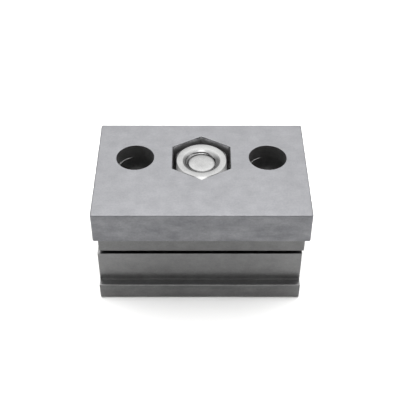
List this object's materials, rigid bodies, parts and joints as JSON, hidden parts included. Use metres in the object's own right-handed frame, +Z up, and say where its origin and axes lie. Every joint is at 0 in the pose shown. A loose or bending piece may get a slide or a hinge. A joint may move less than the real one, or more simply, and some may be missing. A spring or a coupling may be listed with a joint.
{
  "type": "quick change tool post clamp base",
  "caption": "Clamp base of a lathe tool post: a top plate with screw bores and a sunk nut, a key block under it, and a lipped foot that one bolt draws up to grip a slide's edge.",
  "frame": {"origin": "on the clamp bolt's axis, in the plane of the top plate's underside", "axes": "+X along the plate's length, +Y away from the lip, +Z up out of the plate's top"},
  "size_m": [0.0786, 0.0512, 0.0527],
  "materials": {
    "plate_steel": "fine ground, satin",
    "block_steel": "milled, satin, darker",
    "black_steel": "black oxide",
    "ground_steel": "ground, bright",
    "zinc_plate": "bright zinc plated",
    "spring_wire": "drawn wire"
  },
  "bodies": {
    "plate": {"top_plate": "plate_steel", "key_block": "block_steel", "key_screws": "black_steel", "key_dowels": "ground_steel", "clamp_nut": "zinc_plate", "nut_washer": "zinc_plate"},
    "foot": {"clamp_foot": "block_steel", "bolt_washer": "zinc_plate", "guide_pin_left": "ground_steel", "guide_pin_right": "ground_steel", "spring_left": "spring_wire", "spring_right": "spring_wire"},
    "bolt": {"clamp_bolt": "zinc_plate"}
  },
  "joints": [
    {"name": "foot_travel", "type": "slide", "parent": "plate", "child": "foot", "axis": [0, 0, 1], "range_m": [-0.004, 0.00135], "deforming": ["spring_left", "spring_right"]},
    {"name": "bolt_turn", "type": "hinge", "parent": "foot", "child": "bolt", "pos_m": [0, 0, 0], "axis": [0, 0, 1], "range_deg": [-825, 280]}
  ],
  "couplings": [
    {"joint": "bolt_turn", "follows": "foot_travel", "rad_per_m": 3590.4}
  ]
}
